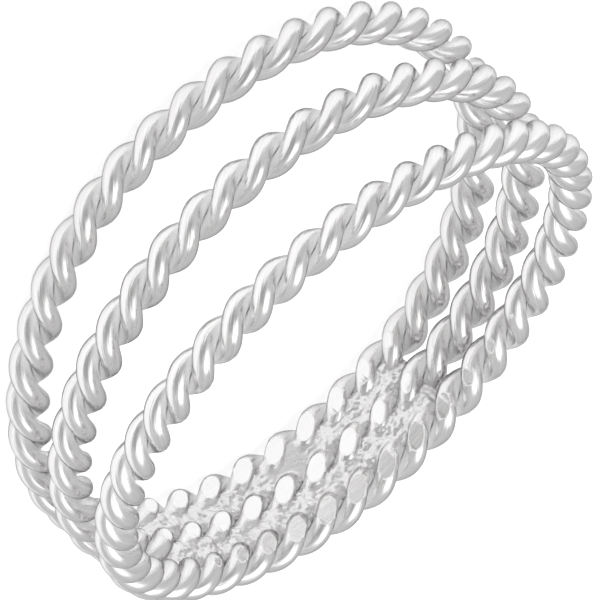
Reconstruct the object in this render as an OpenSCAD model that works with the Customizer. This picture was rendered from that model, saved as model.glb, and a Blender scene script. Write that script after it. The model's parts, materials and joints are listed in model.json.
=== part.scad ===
// Rope twist ring: three ropes of silver wire round one finger. They lie side by side in the
// shank, where solder joins them, and fan apart over the front of the finger. Each rope is
// two round wires laid together in a left-hand twist.
//
// The ring is worked out round its finger axis, Z, with the front of the fan at -Y. Angles
// go round from the front towards +X. The whole ring is then laid on its side, as it rests.

/* [Finger hole] */
// Inside diameter between the round wires, a US size 7
inside_d = 17.3; // [14.0:0.1:22.0]

/* [Wire] */
// Diameter of each round wire
wire_d = 0.70; // [0.50:0.01:0.90]
// Clearance between the two wires of one rope
wire_gap = 0.03; // [0.01:0.01:0.06]
// Clearance between two ropes that lie side by side
rope_gap = 0.02; // [0.01:0.01:0.08]
// Clearance where the two ends of a wire meet at the back
seam_gap = 0.03; // [0.01:0.01:0.10]

/* [Fan] */
// How far the lower rope lies below the middle one at the front
lower_fan = 3.10; // [2.00:0.05:4.50]
// How far the upper rope lies above the middle one at the front
upper_fan = 3.55; // [2.00:0.05:4.50]

/* [Twist] */
// Turns of twist in the lower rope, by halves
lower_turns = 20.5; // [16:0.5:26]
// Turns of twist in the middle rope, by halves
middle_turns = 20.5; // [16:0.5:26]
// Turns of twist in the upper rope, by halves
upper_turns = 22; // [16:0.5:26]

/* [Shank] */
// Depth filed off the inside of the wires at the back
file_depth = 0.15; // [0.04:0.01:0.20]
// Angle from the back at which the filing runs out, on both sides
file_arc = 48; // [30:1:70]
// Angle from the back at which the solder ends, on both sides
solder_arc = 38; // [20:1:45]
// Clearance between the solder and the ropes beside it
solder_gap = 0.02; // [0.01:0.01:0.05]

/* [Hidden] */

// Sides of a wire, and rings of points in one turn of its twist
wire_sides = 6;
rings_per_turn = 10;
solder_fn = 180;

inside_r = inside_d / 2;
rope_d = 2 * wire_d + wire_gap;
ring_r = (inside_d + rope_d) / 2;
arm = (wire_d + wire_gap) / 2;

// Reach of a rope to the corners of its wires, which the ropes and the solder beside it clear
rope_r = norm([arm + wire_d / 2 * cos(180 / wire_sides), wire_d / 2 * sin(180 / wire_sides)]);
side_by_side = 2 * rope_r + rope_gap;

// The file is a cylinder set off towards the front, so it cuts deepest at the back
file_shift = file_depth * (2 * inside_r + file_depth)
    / (2 * (inside_r * (1 - cos(file_arc)) + file_depth));
file_r = inside_r + file_depth - file_shift;

// Last angle of a wire each way from the front, where it stops short of the seam
seam_angle = 180 - seam_gap / 2 / ring_r * 180 / PI;

// Angle of each rope's first wire at the front, from outward towards up
lower_start_angle = 13;
middle_start_angle = 265;
upper_start_angle = 239;

// How far the twist of the outer ropes runs ahead at the back, and the angle from the front
// where it begins to
lower_ahead_angle = -33;
upper_ahead_angle = 33;
uneven_from_angle = 120;

// Angles from the front where a rope leaves the shank and where it is fully fanned, on the
// right and then on the left
lower_fan_angles = [132, 29, 160, 5];
middle_fan_angles = [180, 0, 180, 0];
upper_fan_angles = [167, 3, 144, 0];

// A rope: its side of the middle, its distance at the front, turns of twist, angle of its
// first wire, how far its twist runs ahead at the back, and where it fans apart
lower = [-1, lower_fan, lower_turns, lower_start_angle, lower_ahead_angle, lower_fan_angles];
middle = [0, 0, middle_turns, middle_start_angle, 0, middle_fan_angles];
upper = [1, upper_fan, upper_turns, upper_start_angle, upper_ahead_angle, upper_fan_angles];

function unit(v) = v / norm(v);
function outward(a) = [sin(a), -cos(a), 0];

// Share of the way from side by side, 0, to fully fanned, 1
function eased(t) =
    let (s = min(1, max(0, t)))
    s * s * (3 - 2 * s);
function fanned(r, a) =
    a >= 0 ? eased((r[0] - a) / (r[0] - r[1])) : eased((r[2] + a) / (r[2] - r[3]));

// Centre line of a rope
function height(rope, a) =
    rope[0] * (side_by_side + (rope[1] - side_by_side) * fanned(rope[5], a));
function path(rope, a) = ring_r * outward(a) + [0, 0, height(rope, a)];

// Angle of a wire round its rope, from outward towards up; half is 0 or 1
function twist(rope, half, a) =
    rope[3] + rope[2] * a + 180 * half
    + rope[4] * eased((abs(a) - uneven_from_angle) / (180 - uneven_from_angle));

// Centre line of one wire, wound round its rope
function wire_centre(rope, half, a) =
    let (along = unit(path(rope, a + 0.5) - path(rope, a - 0.5)))
    let (out = unit(outward(a) - (outward(a) * along) * along))
    let (up = cross(out, along))
    let (t = twist(rope, half, a))
    path(rope, a) + arm * (cos(t) * out + sin(t) * up);

// A point inside the file is moved out to its face
function filed(p) =
    let (q = [p.x, p.y - file_shift])
    let (d = norm(q))
    d < file_r ? [q.x * file_r / d, q.y * file_r / d + file_shift, p.z] : p;

// One ring of points on the wire's surface, square to it, with a flat towards the other wire
function wire_ring(rope, half, a) =
    let (centre = wire_centre(rope, half, a))
    let (along = unit(wire_centre(rope, half, a + 0.2) - wire_centre(rope, half, a - 0.2)))
    let (off = centre - path(rope, a))
    let (out = unit(off - (off * along) * along))
    let (side = cross(along, out))
    [for (k = [0 : wire_sides - 1])
        let (b = 360 / wire_sides * (k + 0.5))
        filed(centre + wire_d / 2 * (cos(b) * out + sin(b) * side))];

// All the points of a wire, ring after ring from one side of the seam to the other
function steps(rope) = round(rope[2] * rings_per_turn);
function wire_points(rope, half) =
    [for (i = [0 : steps(rope)]) each wire_ring(rope, half, seam_angle * (2 * i / steps(rope) - 1))];

// Two triangles for each side between neighbouring rings, and one face on each end
function wire_faces(count) =
    [
        [for (k = [0 : wire_sides - 1]) k],
        [for (k = [0 : wire_sides - 1]) count * wire_sides + wire_sides - 1 - k],
        for (i = [0 : count - 1], k = [0 : wire_sides - 1])
            let (here = i * wire_sides, next = here + wire_sides, m = (k + 1) % wire_sides)
            each [[here + k, next + m, here + m], [here + k, next + k, next + m]],
    ];

// The ring lies on the lower rope and tips forward until that also touches at the front
rest_tilt = atan(max([for (a = [-90 : 90])
    (-side_by_side - height(lower, a)) / (ring_r * (1 + cos(a)))]));
function resting(p) = [
    p.x,
    p.y * cos(rest_tilt) + p.z * sin(rest_tilt),
    p.z * cos(rest_tilt) - p.y * sin(rest_tilt),
];

// Box of the resting wires, which sets the origin under the middle of the ring
all_points = [for (rope = [lower, middle, upper], half = [0, 1])
    each [for (p = wire_points(rope, half)) resting(p)]];
x_all = [for (p = all_points) p.x];
y_all = [for (p = all_points) p.y];
z_all = [for (p = all_points) p.z];
x_mid = (min(x_all) + max(x_all)) / 2;
y_mid = (min(y_all) + max(y_all)) / 2;
z_low = min(z_all);

module at_rest() {
    translate([-x_mid, -y_mid, -z_low])
        rotate([-rest_tilt, 0, 0])
            children();
}

module wire(rope, half) {
    color("silver")
        at_rest()
            polyhedron(wire_points(rope, half), wire_faces(steps(rope)), convexity = 10);
}

// Solder fills the valley inside two ropes, and is filed off flush with the wires
module solder(side) {
    color("darkgray")
        at_rest()
            difference() {
                translate([0, 0, side * side_by_side / 2])
                    rotate([0, 0, 90 - solder_arc])
                        rotate_extrude(angle = 2 * solder_arc, $fn = solder_fn)
                            valley();
                translate([0, file_shift, -2 * rope_d])
                    cylinder(r = file_r, h = 4 * rope_d, $fn = solder_fn);
            }
}

// Section of the valley: what two neighbouring ropes leave free on the inside
module valley() {
    difference() {
        translate([inside_r, -side_by_side / 2])
            square([ring_r - inside_r, side_by_side]);
        for (side = [-1, 1])
            translate([ring_r, side * side_by_side / 2])
                circle(r = rope_r + solder_gap, $fn = solder_fn);
    }
}

module lower_wire_a() {
    wire(lower, 0);
}

module lower_wire_b() {
    wire(lower, 1);
}

module middle_wire_a() {
    wire(middle, 0);
}

module middle_wire_b() {
    wire(middle, 1);
}

module upper_wire_a() {
    wire(upper, 0);
}

module upper_wire_b() {
    wire(upper, 1);
}

module lower_solder() {
    solder(-1);
}

module upper_solder() {
    solder(1);
}

lower_wire_a();
lower_wire_b();
middle_wire_a();
middle_wire_b();
upper_wire_a();
upper_wire_b();
lower_solder();
upper_solder();
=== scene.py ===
import json
import math

import bmesh
import bpy
from mathutils import Matrix, Vector, noise
from mathutils.bvhtree import BVHTree


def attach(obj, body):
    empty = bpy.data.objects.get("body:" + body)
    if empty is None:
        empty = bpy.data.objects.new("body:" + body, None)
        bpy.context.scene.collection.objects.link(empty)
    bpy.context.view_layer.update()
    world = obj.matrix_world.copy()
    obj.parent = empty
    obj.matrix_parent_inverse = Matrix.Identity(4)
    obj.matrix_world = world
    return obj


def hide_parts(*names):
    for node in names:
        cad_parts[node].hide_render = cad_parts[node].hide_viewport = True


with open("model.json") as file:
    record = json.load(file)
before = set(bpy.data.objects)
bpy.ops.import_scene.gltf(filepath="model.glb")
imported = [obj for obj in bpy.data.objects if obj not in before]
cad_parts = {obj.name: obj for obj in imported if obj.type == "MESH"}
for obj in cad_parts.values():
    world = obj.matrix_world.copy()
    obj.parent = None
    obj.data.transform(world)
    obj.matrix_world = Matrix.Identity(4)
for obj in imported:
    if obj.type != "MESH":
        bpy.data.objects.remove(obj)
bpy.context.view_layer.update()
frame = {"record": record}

# The ring's own axes. It lies on its side, tipped forward on its lowest rope, so its finger
# axis leans. In these axes Z is the finger axis, -Y is the middle of the fan, and an angle
# round the ring is counted from the fan's middle towards +X. Lengths are in millimetres.
MM = 0.001
hole = next(m for m in frame["record"]["mounts"] if m["name"] == "finger_hole")
lean = math.atan2(hole["axis"][1], hole["axis"][2])
ring_axes = (
    Matrix.Translation(hole["pos_m"]) @ Matrix.Rotation(-lean, 4, "X") @ Matrix.Scale(MM, 4)
)

# Camera: a long lens that looks down into the ring over the fan's right side, held rolled,
# as the photograph shows the ring.
view_side = math.radians(29.84)
view_above = math.radians(27.05)
view_roll = math.radians(133.41)
view_distance = 400.35
view_right = 0.037
view_up = 0.524
lens_mm = 763.7
sensor_mm = 36.0

turned = (
    Matrix.Rotation(view_side, 4, "Z")
    @ Matrix.Rotation(math.radians(90) - view_above, 4, "X")
    @ Matrix.Rotation(view_roll, 4, "Z")
)
eye = ring_axes @ turned @ Vector((view_right, view_up, view_distance))
turned_view = Matrix.Rotation(-lean, 4, "X") @ turned
camera = bpy.data.objects.new("camera", bpy.data.cameras.new("camera"))
camera.data.lens = lens_mm
camera.data.sensor_width = sensor_mm
camera.data.clip_end = 10.0
camera.matrix_world = Matrix.Translation(eye) @ turned_view
bpy.context.collection.objects.link(camera)
bpy.context.scene.camera = camera


# Sterling silver: rope wire, drawn round, twisted, and buffed after soldering. The buff left
# fine lines along the wires. The grooves between them are painted a dull, pale white: painted
# light that stands in for the light bouncing between the wires. Real buff lines are about
# 0.01 mm wide, too fine to show, so they are drawn 0.1 mm wide and 1.4 mm long, and break up
# the bright reflections.
buff_lines_per_mm = (0.7, 9, 1)
buff_line_depth = 0.000018


def linear(hex_colour):
    """Turns an sRGB hex colour to linear RGBA."""
    channels = [int(hex_colour[i:i + 2], 16) / 255 for i in (1, 3, 5)]
    return [c / 12.92 if c <= 0.04045 else ((c + 0.055) / 1.055) ** 2.4 for c in channels] + [1.0]


def add_node(tree, kind, links=None, **settings):
    """Adds a node. links maps an input's name or number to a value or to another node's output."""
    node = tree.nodes.new(kind)
    for name, value in settings.items():
        setattr(node, name, value)
    for name, value in (links or {}).items():
        if isinstance(value, bpy.types.NodeSocket):
            tree.links.new(value, node.inputs[name])
        else:
            node.inputs[name].default_value = value
    return node


silver = bpy.data.materials.new("buffed_sterling_silver")
silver.use_nodes = True
tree = silver.node_tree
shader = tree.nodes["Principled BSDF"]
surface = add_node(tree, "ShaderNodeUVMap", uv_map="wire_mm")
lines = add_node(tree, "ShaderNodeMapping", {
    "Vector": surface.outputs["UV"], "Scale": buff_lines_per_mm,
})
line_noise = add_node(tree, "ShaderNodeTexNoise", {
    "Vector": lines.outputs["Vector"], "Scale": 1.0, "Detail": 3.0, "Roughness": 0.6,
})

# The share of painted groove light: 1 deep between the wires, 0 out on them
reach = add_node(tree, "ShaderNodeAttribute", attribute_name="reach")
groove = add_node(tree, "ShaderNodeMapRange", {
    "Value": reach.outputs["Fac"], "From Min": 0.35, "From Max": 0.75,
    "To Min": 1.0, "To Max": 0.0,
}, interpolation_type="SMOOTHSTEP")
line_roughness = add_node(tree, "ShaderNodeMapRange", {
    "Value": line_noise.outputs["Fac"], "From Min": 0.3, "From Max": 0.7,
    "To Min": 0.14, "To Max": 0.30,
})
roughness = add_node(tree, "ShaderNodeMix", {
    "Factor": groove.outputs["Result"], "A": line_roughness.outputs["Result"], "B": 0.60,
})
metallic = add_node(tree, "ShaderNodeMapRange", {
    "Value": groove.outputs["Result"], "To Min": 1.0, "To Max": 0.15,
})
line_colour = add_node(tree, "ShaderNodeMix", {
    "Factor": line_noise.outputs["Fac"], 6: linear("#CBCACA"), 7: linear("#F2F1F1"),
}, data_type="RGBA")
# Painted light in the grooves: a pale matt white that stands in for light bouncing between the
# wires
colour = add_node(tree, "ShaderNodeMix", {
    "Factor": groove.outputs["Result"], 6: line_colour.outputs[2], 7: linear("#F8F8F8"),
}, data_type="RGBA")
bump = add_node(tree, "ShaderNodeBump", {
    "Height": line_noise.outputs["Fac"], "Strength": 1.0, "Distance": buff_line_depth,
})
tree.links.new(colour.outputs[2], shader.inputs["Base Color"])
tree.links.new(metallic.outputs["Result"], shader.inputs["Metallic"])
tree.links.new(roughness.outputs[0], shader.inputs["Roughness"])
tree.links.new(bump.outputs["Normal"], shader.inputs["Normal"])

# Painted shade: a grey edge tint dulls the wires' reflection where they turn away from the eye,
# greying their outlines
shader.inputs["Specular Tint"].default_value = linear("#A8A8A8")

# The ropes: each is two round sterling wires laid together in a left-hand twist, bent round
# the finger and soldered closed at the back. The wires of a rope touch, and so do the ropes
# where they lie side by side in the shank.
wire_r = 0.35
ring_r = 9.365
side_by_side = 4 * wire_r
steps_per_turn = 40
wire_resolution = 6

# name: side of the middle, distance from it at the front, turns of twist, angle of the
# first wire at the front from outward towards up, how far the twist runs ahead at the back,
# and the angles from the front where the rope leaves the shank and where it is fully
# fanned, on the right and then on the left
ropes = {
    "lower": (-1, 3.10, 20.5, 13, -33, (132, 29), (160, 5)),
    "middle": (0, 0.0, 20.5, 265, 0, (180, 0), (180, 0)),
    "upper": (1, 3.55, 22, 239, 33, (167, 3), (144, 0)),
}
uneven_from = 120


def eased(share):
    """Goes from 0 to 1 with a soft start and a soft end."""
    share = min(1.0, max(0.0, share))
    return share * share * (3 - 2 * share)


def height(rope, angle):
    """Height of a rope's centre line over the middle rope's, at an angle in degrees."""
    side, fan, *_, right, left = ropes[rope]
    around = (angle + 180) % 360 - 180
    parts, full = right if around >= 0 else left
    share = eased((parts - abs(around)) / (parts - full))
    return side * (side_by_side + (fan - side_by_side) * share)


def outward(angle):
    """Away from the finger axis, at an angle in degrees."""
    return Vector((math.sin(math.radians(angle)), -math.cos(math.radians(angle)), 0))


def rope_point(rope, angle):
    """A point on the centre line of a rope."""
    return ring_r * outward(angle) + Vector((0, 0, height(rope, angle)))


def wire_point(rope, angle, twist):
    """A point on the centre line of the wire that stands at that twist in its rope."""
    along = (rope_point(rope, angle + 0.5) - rope_point(rope, angle - 0.5)).normalized()
    out = outward(angle)
    out = (out - out.dot(along) * along).normalized()
    up = out.cross(along)
    twist = math.radians(twist)
    return rope_point(rope, angle) + wire_r * (math.cos(twist) * out + math.sin(twist) * up)


def mesh_of(thing, name):
    """The mesh that an object has once its curve or its modifiers are worked out."""
    bpy.context.view_layer.update()
    shown = thing.evaluated_get(bpy.context.evaluated_depsgraph_get())
    mesh = bpy.data.meshes.new_from_object(shown)
    mesh.name = name
    return mesh


def rope_wires(rope):
    """The two wires of a rope, as one mesh. Half a turn over, one wire runs on into the other."""
    _, _, turns, start, ahead, _, _ = ropes[rope]
    rounds = 2 if turns % 1 else 1
    curve = bpy.data.curves.new(rope, "CURVE")
    curve.dimensions = "3D"
    curve.bevel_depth = wire_r
    curve.bevel_resolution = wire_resolution
    for half in range(2 // rounds):
        steps = round(turns * rounds * steps_per_turn)
        line = curve.splines.new("POLY")
        line.use_cyclic_u = True
        line.points.add(steps - 1)
        for i, point in enumerate(line.points):
            angle = 360 * rounds * i / steps - 180
            from_front = abs((angle + 180) % 360 - 180)
            twist = start + turns * angle + 180 * half
            twist += ahead * eased((from_front - uneven_from) / (180 - uneven_from))
            point.co = (*wire_point(rope, angle, twist), 1)
    thing = bpy.data.objects.new(rope, curve)
    bpy.context.collection.objects.link(thing)
    mesh = mesh_of(thing, rope + "_rope")
    bpy.data.objects.remove(thing)
    uv_map = mesh.uv_layers[0]
    uv_map.name = "wire_mm"
    length = sum((a.co - b.co).length for a, b in zip(line.points, line.points[1:]))
    for corner in uv_map.data:
        corner.uv = (corner.uv[0] * length, corner.uv[1] * 2 * math.pi * wire_r)
    # Distance from the rope's centre in wire diameters, which places the painted groove light
    reach = mesh.attributes.new("reach", "FLOAT", "POINT")
    for vert, value in zip(mesh.vertices, reach.data):
        angle = math.degrees(math.atan2(vert.co.x, -vert.co.y))
        value.value = (vert.co - rope_point(rope, angle)).length / (2 * wire_r)
    return mesh


# Filed faces: a round file, laid in off centre, flattened the silver wires inside the shank.
# It cut deepest at the back and ran out on both sides, and on the upper rope it was held at a
# slant and lifted a little, to ease that edge.
inside_r = 8.65
file_depth = 0.15
file_arc = math.radians(48)
file_shift = (
    file_depth * (2 * inside_r + file_depth)
    / (2 * (inside_r * (1 - math.cos(file_arc)) + file_depth))
)
file_r = inside_r + file_depth - file_shift
file_length = 6.0
file_sides = 720
edge_slant = math.radians(10)
edge_tilt = math.radians(3)
edge_lift = 0.03
filed_edge = math.radians(25)

# Filed sterling silver: a fine file left straight bright lines round the shank, about 0.07 mm
# wide, which dull its reflections a little across them.
file_lines_per_m = (900, 900, 14000)
file_line_depth = 0.000005

filed_silver = bpy.data.materials.new("filed_sterling_silver")
filed_silver.use_nodes = True
tree = filed_silver.node_tree
shader = tree.nodes["Principled BSDF"]
place = add_node(tree, "ShaderNodeTexCoord")
file_lines = add_node(tree, "ShaderNodeMapping", {
    "Vector": place.outputs["Object"], "Scale": file_lines_per_m,
})
file_noise = add_node(tree, "ShaderNodeTexNoise", {
    "Vector": file_lines.outputs["Vector"], "Scale": 1.0, "Detail": 3.0, "Roughness": 0.6,
})
file_roughness = add_node(tree, "ShaderNodeMapRange", {
    "Value": file_noise.outputs["Fac"], "From Min": 0.3, "From Max": 0.7,
    "To Min": 0.12, "To Max": 0.28,
})
bump = add_node(tree, "ShaderNodeBump", {
    "Height": file_noise.outputs["Fac"], "Strength": 0.5, "Distance": file_line_depth,
})
shader.inputs["Base Color"].default_value = linear("#E4E3E3")
shader.inputs["Metallic"].default_value = 1.0
tree.links.new(file_roughness.outputs["Result"], shader.inputs["Roughness"])
tree.links.new(bump.outputs["Normal"], shader.inputs["Normal"])


def file_along(rope):
    """The file as it was held for a rope: straight, or slanted for the upper one."""
    mesh = bpy.data.meshes.new("file")
    build = bmesh.new()
    slant, tilt, lift = (edge_slant, edge_tilt, edge_lift) if rope == "upper" else (0, 0, 0)
    spread = math.tan(slant) * file_length / 2
    place = Matrix.Translation((0, file_shift, height(rope, 180)))
    bmesh.ops.create_cone(
        build, cap_ends=True, segments=file_sides, depth=file_length,
        radius1=file_r - lift - spread, radius2=file_r - lift + spread,
        matrix=place @ Matrix.Rotation(-tilt, 4, "Y"),
    )
    build.to_mesh(mesh)
    build.free()
    mesh.materials.append(filed_silver)
    thing = bpy.data.objects.new("file", mesh)
    bpy.context.collection.objects.link(thing)
    return thing


wire_surfaces = []
for rope in ropes:
    piece = bpy.data.objects.new(rope + "_rope", rope_wires(rope))
    piece.data.materials.append(silver)
    bpy.context.collection.objects.link(piece)
    cutter = file_along(rope)
    cut = piece.modifiers.new("filed", "BOOLEAN")
    cut.operation = "DIFFERENCE"
    cut.solver = "EXACT"
    cut.material_mode = "TRANSFER"
    cut.object = cutter
    mesh = mesh_of(piece, rope + "_rope")
    piece.modifiers.clear()
    piece.data = mesh
    bpy.data.objects.remove(cutter)
    mesh.shade_smooth()
    mesh.set_sharp_from_angle(angle=filed_edge)
    wire_surfaces.append(BVHTree.FromPolygons(
        [vert.co.copy() for vert in mesh.vertices], [face.vertices[:] for face in mesh.polygons]
    ))
    mesh.transform(ring_axes)
    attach(piece, "root")
    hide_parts(rope + "_wire_a", rope + "_wire_b")

# Solder: silver solder run into the valleys on both sides of the middle rope while the ropes
# were clamped together. It climbs the wires in small fillets, is rippled where it set in
# the open, and is flush with the filed faces where the file reached it. Its skin set with a
# fine grain, drawn 0.1 mm coarse so that it shows, which makes it duller than the wires.
grains_per_m = 9000.0
grain_depth = 0.000014

solder = bpy.data.materials.new("silver_solder")
solder.use_nodes = True
tree = solder.node_tree
shader = tree.nodes["Principled BSDF"]
place = add_node(tree, "ShaderNodeTexCoord")
grain = add_node(tree, "ShaderNodeTexNoise", {
    "Vector": place.outputs["Object"], "Scale": grains_per_m, "Detail": 2.0, "Roughness": 0.55,
})
grain_roughness = add_node(tree, "ShaderNodeMapRange", {
    "Value": grain.outputs["Fac"], "From Min": 0.35, "From Max": 0.65,
    "To Min": 0.26, "To Max": 0.42,
})
bump = add_node(tree, "ShaderNodeBump", {
    "Height": grain.outputs["Fac"], "Strength": 0.8, "Distance": grain_depth,
})
shader.inputs["Base Color"].default_value = linear("#DBDADA")
shader.inputs["Metallic"].default_value = 1.0
tree.links.new(grain_roughness.outputs["Result"], shader.inputs["Roughness"])
tree.links.new(bump.outputs["Normal"], shader.inputs["Normal"])

# Degrees from the back to each tip, and degrees over which the tip tapers
solder_arc = 38
solder_taper = 7

# Half the width of a run, and how near to a wire its fillet starts
half_width = 0.63
fillet = 0.12

# Faces along and across a run, fine enough for its ripples
columns = 480
rows = 44
solder_edge = math.radians(60)

# The skin lies this far under the filed face, deeper beside the ropes and at the ends
skin_depth = 0.16
side_dip = 0.22
end_dip = 0.45

# Strength of the skin's ripples, with each one's share and how many there are to a millimetre
ripple = 0.075
ripples = ((1.2, 1.1), (1.1, 2.6), (0.5, 7))
other_valley = 7.0

# Between the lower and the middle rope the solder flooded one spot and set smooth, higher
# against the lower rope. The angles are in degrees from the back.
pool_angle = 5.5
pool_half = 7.0
pool_depth = 0.05
pool_slope = 0.13

# The skin runs on just inside a wire where it meets one, and never stands in the filed face
wire_overlap = 0.012
file_clear = 0.002

# The wires over the solder are found from inside the finger hole
look_from = inside_r - 1
look_length = 2.0

# The underside, out between the ropes, deepest along the middle and drawn in at the ends
under_depth = 0.08
under_round = 0.4
under_end = 0.5
thinnest = 0.03


def filed_radius(angle):
    """Distance of the filed face from the finger axis, at an angle in degrees from the back."""
    a = math.radians(angle)
    return file_shift * math.cos(a) + math.sqrt(file_r ** 2 - (file_shift * math.sin(a)) ** 2)


def at_end(angle):
    """How far along its tapered end the solder is: 0 before it, 1 at the tip."""
    return max(0.0, (abs(angle) - solder_arc + solder_taper) / solder_taper)


def solder_depth(angle, across, side):
    """How far the solder's skin lies under the filed face. across runs from -1 to 1."""
    along = math.radians(angle) * ring_r
    spot = Vector((along, across * half_width, other_valley * side))
    waves = sum(share * noise.noise(spot * per_mm) for share, per_mm in ripples)
    depth = skin_depth + ripple * waves + side_dip * across ** 4 + end_dip * at_end(angle) ** 2
    if side < 0:
        pool = eased(2 * (1 - abs(angle - pool_angle) / pool_half))
        depth += pool * (pool_depth + pool_slope * (across + 1) - depth)
    return depth


def solder_radius(angle, across, side):
    """Distance of the solder's skin from the finger axis, with fillets up to the wires."""
    skin = filed_radius(angle) + solder_depth(angle, across, side)
    out = outward(180 + angle)
    start = out * look_from + Vector((0, 0, side * side_by_side / 2 + half_width * across))
    for surface in wire_surfaces:
        hit = surface.ray_cast(start, out, look_length)[0]
        if hit:
            wire = hit.to_2d().length + wire_overlap
            blend = max(0.0, fillet - abs(skin - wire)) / fillet
            skin = min(skin, wire) - blend * blend * fillet / 4
    return max(skin, filed_radius(angle) + file_clear)


def under_radius(angle, across):
    """Distance of the solder's underside from the finger axis."""
    return ring_r + under_depth - under_round * across ** 2 - under_end * at_end(angle) ** 2


for side, name in ((-1, "lower_solder"), (1, "upper_solder")):
    mesh = bpy.data.meshes.new(name)
    build = bmesh.new()
    bmesh.ops.create_grid(build, x_segments=columns, y_segments=rows, size=1.0)
    grown = bmesh.ops.extrude_face_region(build, geom=build.faces[:], use_keep_orig=True)
    back = {vert for vert in grown["geom"] if isinstance(vert, bmesh.types.BMVert)}
    for vert in build.verts:
        angle = vert.co.x * solder_arc
        across = vert.co.y
        radius = solder_radius(angle, across, side)
        if vert in back:
            radius = max(radius + thinnest, under_radius(angle, across))
        vert.co = radius * outward(180 + angle)
        vert.co.z = side * side_by_side / 2 + half_width * across
    bmesh.ops.recalc_face_normals(build, faces=build.faces)
    if build.calc_volume(signed=True) < 0:
        bmesh.ops.reverse_faces(build, faces=build.faces)
    build.to_mesh(mesh)
    build.free()
    piece = bpy.data.objects.new(name + "_run", mesh)
    bpy.context.collection.objects.link(piece)
    mesh.shade_smooth()
    mesh.set_sharp_from_angle(angle=solder_edge)
    mesh.transform(ring_axes)
    mesh.materials.append(solder)
    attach(piece, "root")
    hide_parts(name)

# Floor: a cast sheet of white acrylic on a light table. The light that comes up through it
# makes it even and white, with hardly a shadow, and its matt top shows no reflection.
floor_half = 2.0

floor_mesh = bpy.data.meshes.new("floor")
build = bmesh.new()
bmesh.ops.create_grid(build, x_segments=1, y_segments=1, size=floor_half)
build.to_mesh(floor_mesh)
build.free()
floor = bpy.data.objects.new("floor", floor_mesh)
bpy.context.collection.objects.link(floor)
acrylic = bpy.data.materials.new("opal_acrylic")
acrylic.use_nodes = True
acrylic_shader = acrylic.node_tree.nodes["Principled BSDF"]
acrylic_shader.inputs["Base Color"].default_value = linear("#EEEEEE")
acrylic_shader.inputs["Roughness"].default_value = 0.9
acrylic_shader.inputs["Specular IOR Level"].default_value = 0.1
acrylic_shader.inputs["Emission Color"].default_value = linear("#FFFFFF")
acrylic_shader.inputs["Emission Strength"].default_value = 0.5
floor_mesh.materials.append(acrylic)

# Light: a tent of thin white cloth round the ring. It is bright overhead, where the lamp
# shines through, grey low down, and darker round the opening that is left for the view.
lamp_lean = 0.20

world = bpy.data.worlds.new("tent")
world.use_nodes = True
tree = world.node_tree
where = add_node(tree, "ShaderNodeTexCoord")
to_camera = (turned_view @ Vector((0, 0, 1))).normalized()
level = Vector((to_camera.x, to_camera.y, 0)).normalized()
to_lamp = (Vector((0, 0, 1)) + lamp_lean * level).normalized()
facing_lamp = add_node(tree, "ShaderNodeVectorMath", {
    0: where.outputs["Generated"], 1: to_lamp,
}, operation="DOT_PRODUCT")
cloth = add_node(tree, "ShaderNodeMapRange", {
    "Value": facing_lamp.outputs["Value"], "From Min": 0.79, "From Max": 0.94,
    "To Min": 0.72, "To Max": 1.9,
}, interpolation_type="SMOOTHSTEP")
facing = add_node(tree, "ShaderNodeVectorMath", {
    0: where.outputs["Generated"], 1: to_camera,
}, operation="DOT_PRODUCT")
opening = add_node(tree, "ShaderNodeMapRange", {
    "Value": facing.outputs["Value"], "From Min": 0.72, "From Max": 0.95,
    "To Min": 1.0, "To Max": 0.68,
}, interpolation_type="SMOOTHSTEP")
strength = add_node(tree, "ShaderNodeMath", {
    0: cloth.outputs["Result"], 1: opening.outputs["Result"],
}, operation="MULTIPLY")
tree.links.new(strength.outputs["Value"], tree.nodes["Background"].inputs["Strength"])
tree.nodes["Background"].inputs["Color"].default_value = (1, 1, 1, 1)
bpy.context.scene.world = world
bpy.context.scene.view_settings.view_transform = "Standard"
